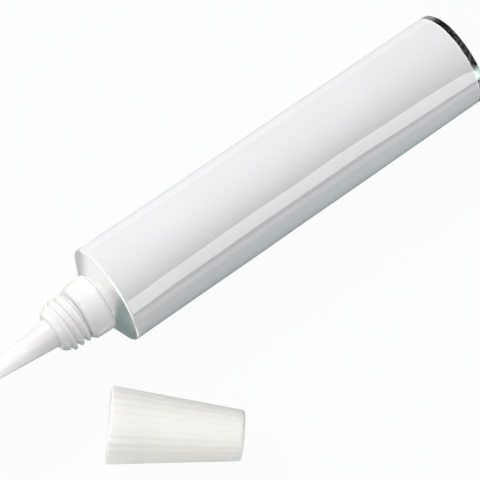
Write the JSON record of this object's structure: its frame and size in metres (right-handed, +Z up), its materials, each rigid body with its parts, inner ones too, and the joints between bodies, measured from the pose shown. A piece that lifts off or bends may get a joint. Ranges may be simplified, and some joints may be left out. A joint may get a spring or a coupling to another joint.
{
  "type": "eye ointment tube",
  "caption": "Empty white aluminium ointment tube with a cone shoulder, a screw-threaded eye nozzle and an open filling end, its tapered ribbed cap off beside it.",
  "frame": {"origin": "on the surface that it lies on, under the middle of the box round tube and cap", "axes": "+X along the tube's axis towards its open end, +Z up; the cap lies on the -Y side"},
  "size_m": [0.0754, 0.0332, 0.0135],
  "materials": {
    "white_lacquer": "gloss white lacquer over aluminium, bare on the shoulder and in a ring at the open end",
    "nozzle_plastic": "smooth white moulded plastic",
    "cap_plastic": "matt milky white moulded plastic"
  },
  "bodies": {
    "root": {"tube_body": "white_lacquer", "nozzle": "nozzle_plastic", "cap": "cap_plastic"}
  },
  "joints": []
}
